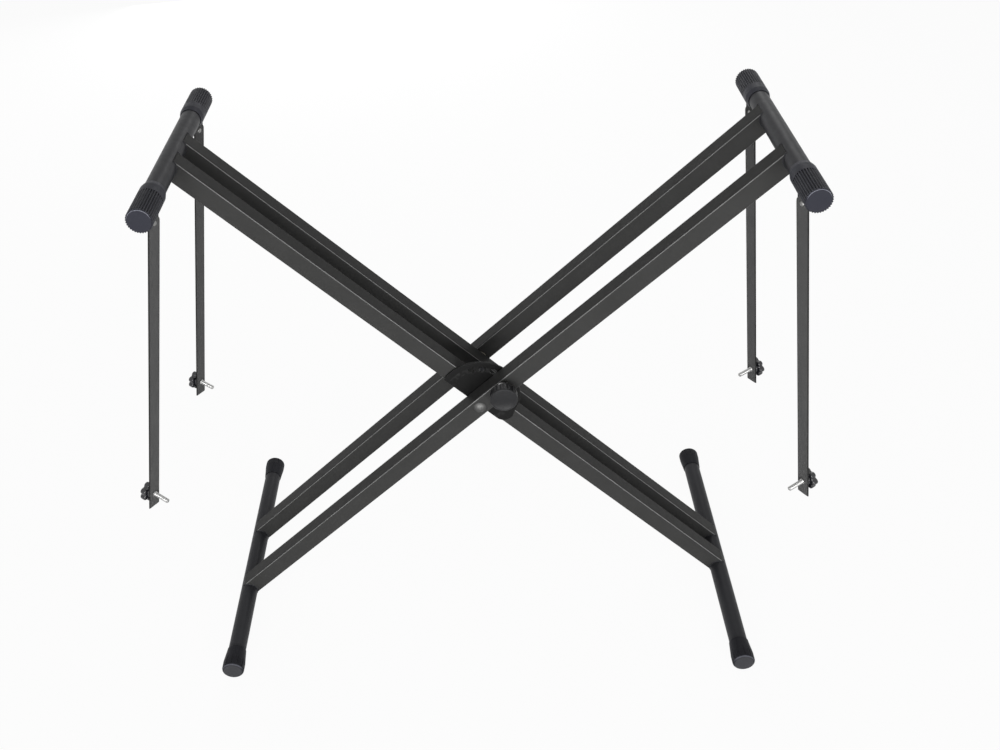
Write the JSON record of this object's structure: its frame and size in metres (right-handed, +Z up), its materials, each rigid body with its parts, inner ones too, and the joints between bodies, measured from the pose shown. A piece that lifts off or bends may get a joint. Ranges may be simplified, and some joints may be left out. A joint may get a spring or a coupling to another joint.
{
  "type": "folding keyboard stand",
  "caption": "Folding X keyboard stand with double-braced square rails, ribbed rubber ends, a pull-knob height lock and hanging straps with star knobs.",
  "frame": {"origin": "on the floor, below the middle of the stand", "axes": "+X to the right across the stand's width, -Y towards the viewer (the side with the lock knob), +Z up"},
  "size_m": [0.9022, 0.44, 0.7252],
  "materials": {
    "frame_black": "satin black powder coat",
    "plate_black": "satin black paint",
    "cap_rubber": "matt, ribbed, slightly blue-black",
    "foot_rubber": "matt, shallow flutes",
    "webbing": "woven black webbing",
    "knob_gloss": "glossy black",
    "knob_matte": "fine matt, blue-black",
    "zinc_bright": "bright zinc plate",
    "steel_plain": "turned steel",
    "bush_nylon": "natural nylon"
  },
  "bodies": {
    "inner_frame": {"inner_rail_front": "frame_black", "inner_rail_rear": "frame_black", "top_tube_left": "frame_black", "foot_tube_right": "frame_black", "quadrant_plate": "plate_black", "bush_front": "bush_nylon", "bush_rear": "bush_nylon", "centre_spacer": "steel_plain", "thrust_washer_front": "bush_nylon", "thrust_washer_rear": "bush_nylon", "top_cap_front_left": "cap_rubber", "top_cap_rear_left": "cap_rubber", "foot_cap_front_right": "foot_rubber", "foot_cap_rear_right": "foot_rubber", "strap_rivet_front_left": "zinc_bright", "strap_rivet_rear_left": "zinc_bright"},
    "outer_frame": {"outer_rail_front": "frame_black", "outer_rail_rear": "frame_black", "top_tube_right": "frame_black", "foot_tube_left": "frame_black", "pivot_bolt": "zinc_bright", "pivot_washer": "zinc_bright", "pivot_nut": "zinc_bright", "lock_housing": "steel_plain", "lock_spring": "steel_plain", "top_cap_front_right": "cap_rubber", "top_cap_rear_right": "cap_rubber", "foot_cap_front_left": "foot_rubber", "foot_cap_rear_left": "foot_rubber", "strap_rivet_front_right": "zinc_bright", "strap_rivet_rear_right": "zinc_bright"},
    "lock_plunger": {"lock_pin": "steel_plain", "lock_knob": "knob_matte"},
    "strap_front_left": {"strap_front_left": "webbing"},
    "star_front_left": {"star_knob_front_left": "knob_gloss", "strap_screw_front_left": "zinc_bright"},
    "strap_rear_left": {"strap_rear_left": "webbing"},
    "star_rear_left": {"star_knob_rear_left": "knob_gloss", "strap_screw_rear_left": "zinc_bright"},
    "strap_front_right": {"strap_front_right": "webbing"},
    "star_front_right": {"star_knob_front_right": "knob_gloss", "strap_screw_front_right": "zinc_bright"},
    "strap_rear_right": {"strap_rear_right": "webbing"},
    "star_rear_right": {"star_knob_rear_right": "knob_gloss", "strap_screw_rear_right": "zinc_bright"}
  },
  "joints": [
    {"name": "fold", "type": "hinge", "parent": "inner_frame", "child": "outer_frame", "pos_m": [0, 0, 0.36283], "axis": [0, -1, 0], "range_deg": [0, 88]},
    {"name": "lock_pull", "type": "slide", "parent": "outer_frame", "child": "lock_plunger", "axis": [0, -1, 0], "range_m": [-0.004, 0.003], "stiffness_N_per_m": 400, "springref_m": -0.004, "deforming": ["lock_spring"]},
    {"name": "strap_swing_front_left", "type": "hinge", "parent": "inner_frame", "child": "strap_front_left", "pos_m": [-0.36167, -0.125, 0.68506], "axis": [-0.8489, 0.5, 0.1712], "range_deg": [-12, 90]},
    {"name": "strap_swing_rear_left", "type": "hinge", "parent": "inner_frame", "child": "strap_rear_left", "pos_m": [-0.36092, 0.125, 0.68501], "axis": [0.8536, -0.5, -0.1459], "range_deg": [-12, 60]},
    {"name": "strap_swing_front_right", "type": "hinge", "parent": "outer_frame", "child": "strap_front_right", "pos_m": [0.36071, -0.125, 0.685], "axis": [-0.8549, -0.5, -0.1385], "range_deg": [-12, 90]},
    {"name": "strap_swing_rear_right", "type": "hinge", "parent": "outer_frame", "child": "strap_rear_right", "pos_m": [0.36009, 0.125, 0.68498], "axis": [0.858, 0.5, 0.1175], "range_deg": [-12, 60]},
    {"name": "star_turn_front_left", "type": "hinge", "parent": "strap_front_left", "child": "star_front_left", "pos_m": [-0.44214, -0.12615, 0.27589], "axis": [-0.8489, 0.5, 0.1712], "continuous": true},
    {"name": "star_turn_rear_left", "type": "hinge", "parent": "strap_rear_left", "child": "star_rear_left", "pos_m": [-0.42922, 0.12385, 0.27364], "axis": [-0.8536, 0.5, 0.1459], "continuous": true},
    {"name": "star_turn_front_right", "type": "hinge", "parent": "strap_front_right", "child": "star_front_right", "pos_m": [0.42541, -0.12615, 0.27305], "axis": [0.8549, 0.5, 0.1385], "continuous": true},
    {"name": "star_turn_rear_right", "type": "hinge", "parent": "strap_rear_right", "child": "star_rear_right", "pos_m": [0.41471, 0.12385, 0.27157], "axis": [0.858, 0.5, 0.1175], "continuous": true}
  ]
}
